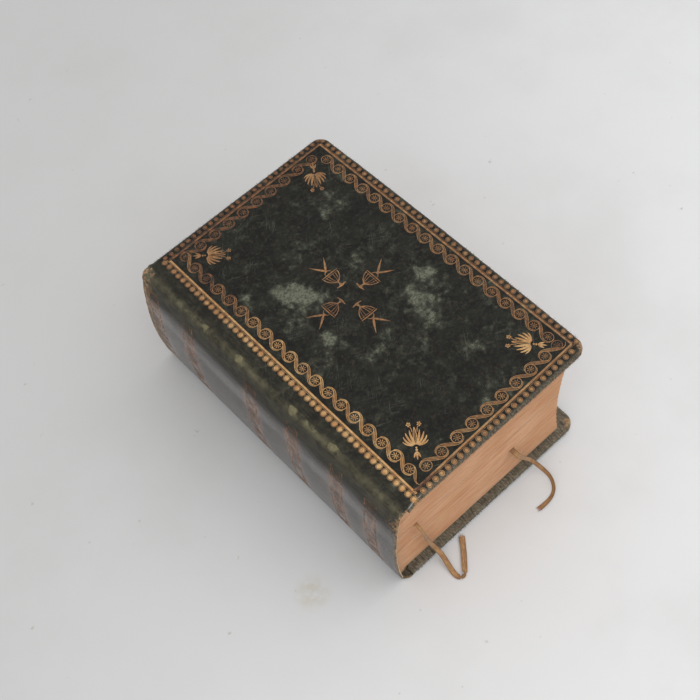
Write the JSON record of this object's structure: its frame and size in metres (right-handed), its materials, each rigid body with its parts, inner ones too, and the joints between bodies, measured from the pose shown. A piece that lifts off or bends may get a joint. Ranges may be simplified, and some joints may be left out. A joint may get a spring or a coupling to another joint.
{
  "type": "prayer book",
  "caption": "Small, thick prayer book in dark green leather with gilt borders, opening covers, sewn sections and ribbon markers at the tail.",
  "frame": {"origin": "on the resting plane, under the middle of the closed book", "axes": "+X from the spine to the fore-edge, +Y from the tail to the head, +Z from the back cover to the front cover"},
  "size_m": [0.1013, 0.1662, 0.0622],
  "materials": {
    "leather": "worn, dark green, blind and gilt tooled",
    "pasteboard": "matt pasteboard",
    "leaves": "aged paper with stained edges",
    "endpaper": "aged laid paper",
    "lining": "open linen glued with paste",
    "sewing": "hemp cord and linen thread",
    "ribbon": "faded narrow silk ribbon"
  },
  "bodies": {
    "text_lower": {"section_11": "leaves", "section_12": "leaves", "section_13": "leaves", "section_14": "leaves", "section_15": "leaves", "section_16": "leaves", "section_17": "leaves", "section_18": "leaves", "section_19": "leaves", "section_20": "leaves", "section_21": "leaves", "section_22": "leaves", "section_23": "leaves", "section_24": "leaves", "spine_leather_lower": "leather", "spine_lining_lower": "lining", "sewing_cords_lower": "sewing", "end_stitches_lower": "sewing", "upper_ribbon_strip": "ribbon", "lower_ribbon_strip": "ribbon", "upper_ribbon_tail": "ribbon", "lower_ribbon_tail": "ribbon"},
    "text_upper": {"section_01": "leaves", "section_02": "leaves", "section_03": "leaves", "section_04": "leaves", "section_05": "leaves", "section_06": "leaves", "section_07": "leaves", "section_08": "leaves", "section_09": "leaves", "section_10": "leaves", "spine_leather_upper": "leather", "spine_lining_upper": "lining", "sewing_cords_upper": "sewing", "end_stitches_upper": "sewing"},
    "front_cover": {"front_board": "pasteboard", "front_cover_leather": "leather", "front_pastedown": "endpaper"},
    "back_cover": {"back_board": "pasteboard", "back_cover_leather": "leather", "back_pastedown": "endpaper"},
    "front_flyleaf": {"front_flyleaf": "endpaper"},
    "back_flyleaf": {"back_flyleaf": "endpaper"}
  },
  "joints": [
    {"name": "text_opening", "type": "hinge", "parent": "text_lower", "child": "text_upper", "pos_m": [-0.05058, 0, 0.03557], "axis": [0, -1, 0], "range_deg": [0, 100]},
    {"name": "front_cover_hinge", "type": "hinge", "parent": "text_upper", "child": "front_cover", "pos_m": [-0.04385, 0, 0.0625], "axis": [0, -1, 0], "range_deg": [0, 140]},
    {"name": "back_cover_hinge", "type": "hinge", "parent": "text_lower", "child": "back_cover", "pos_m": [-0.04385, 0, -0.0003], "axis": [0, 1, 0], "range_deg": [0, 140]},
    {"name": "front_flyleaf_turn", "type": "hinge", "parent": "text_upper", "child": "front_flyleaf", "pos_m": [-0.04335, 0, 0.05805], "axis": [0, -1, 0], "range_deg": [0, 22]},
    {"name": "back_flyleaf_turn", "type": "hinge", "parent": "text_lower", "child": "back_flyleaf", "pos_m": [-0.04335, 0, 0.00415], "axis": [0, 1, 0], "range_deg": [0, 22]}
  ],
  "couplings": [
    {"joint": "front_flyleaf_turn", "follows": "front_cover_hinge", "ratio": 0.15},
    {"joint": "back_flyleaf_turn", "follows": "back_cover_hinge", "ratio": 0.15}
  ]
}
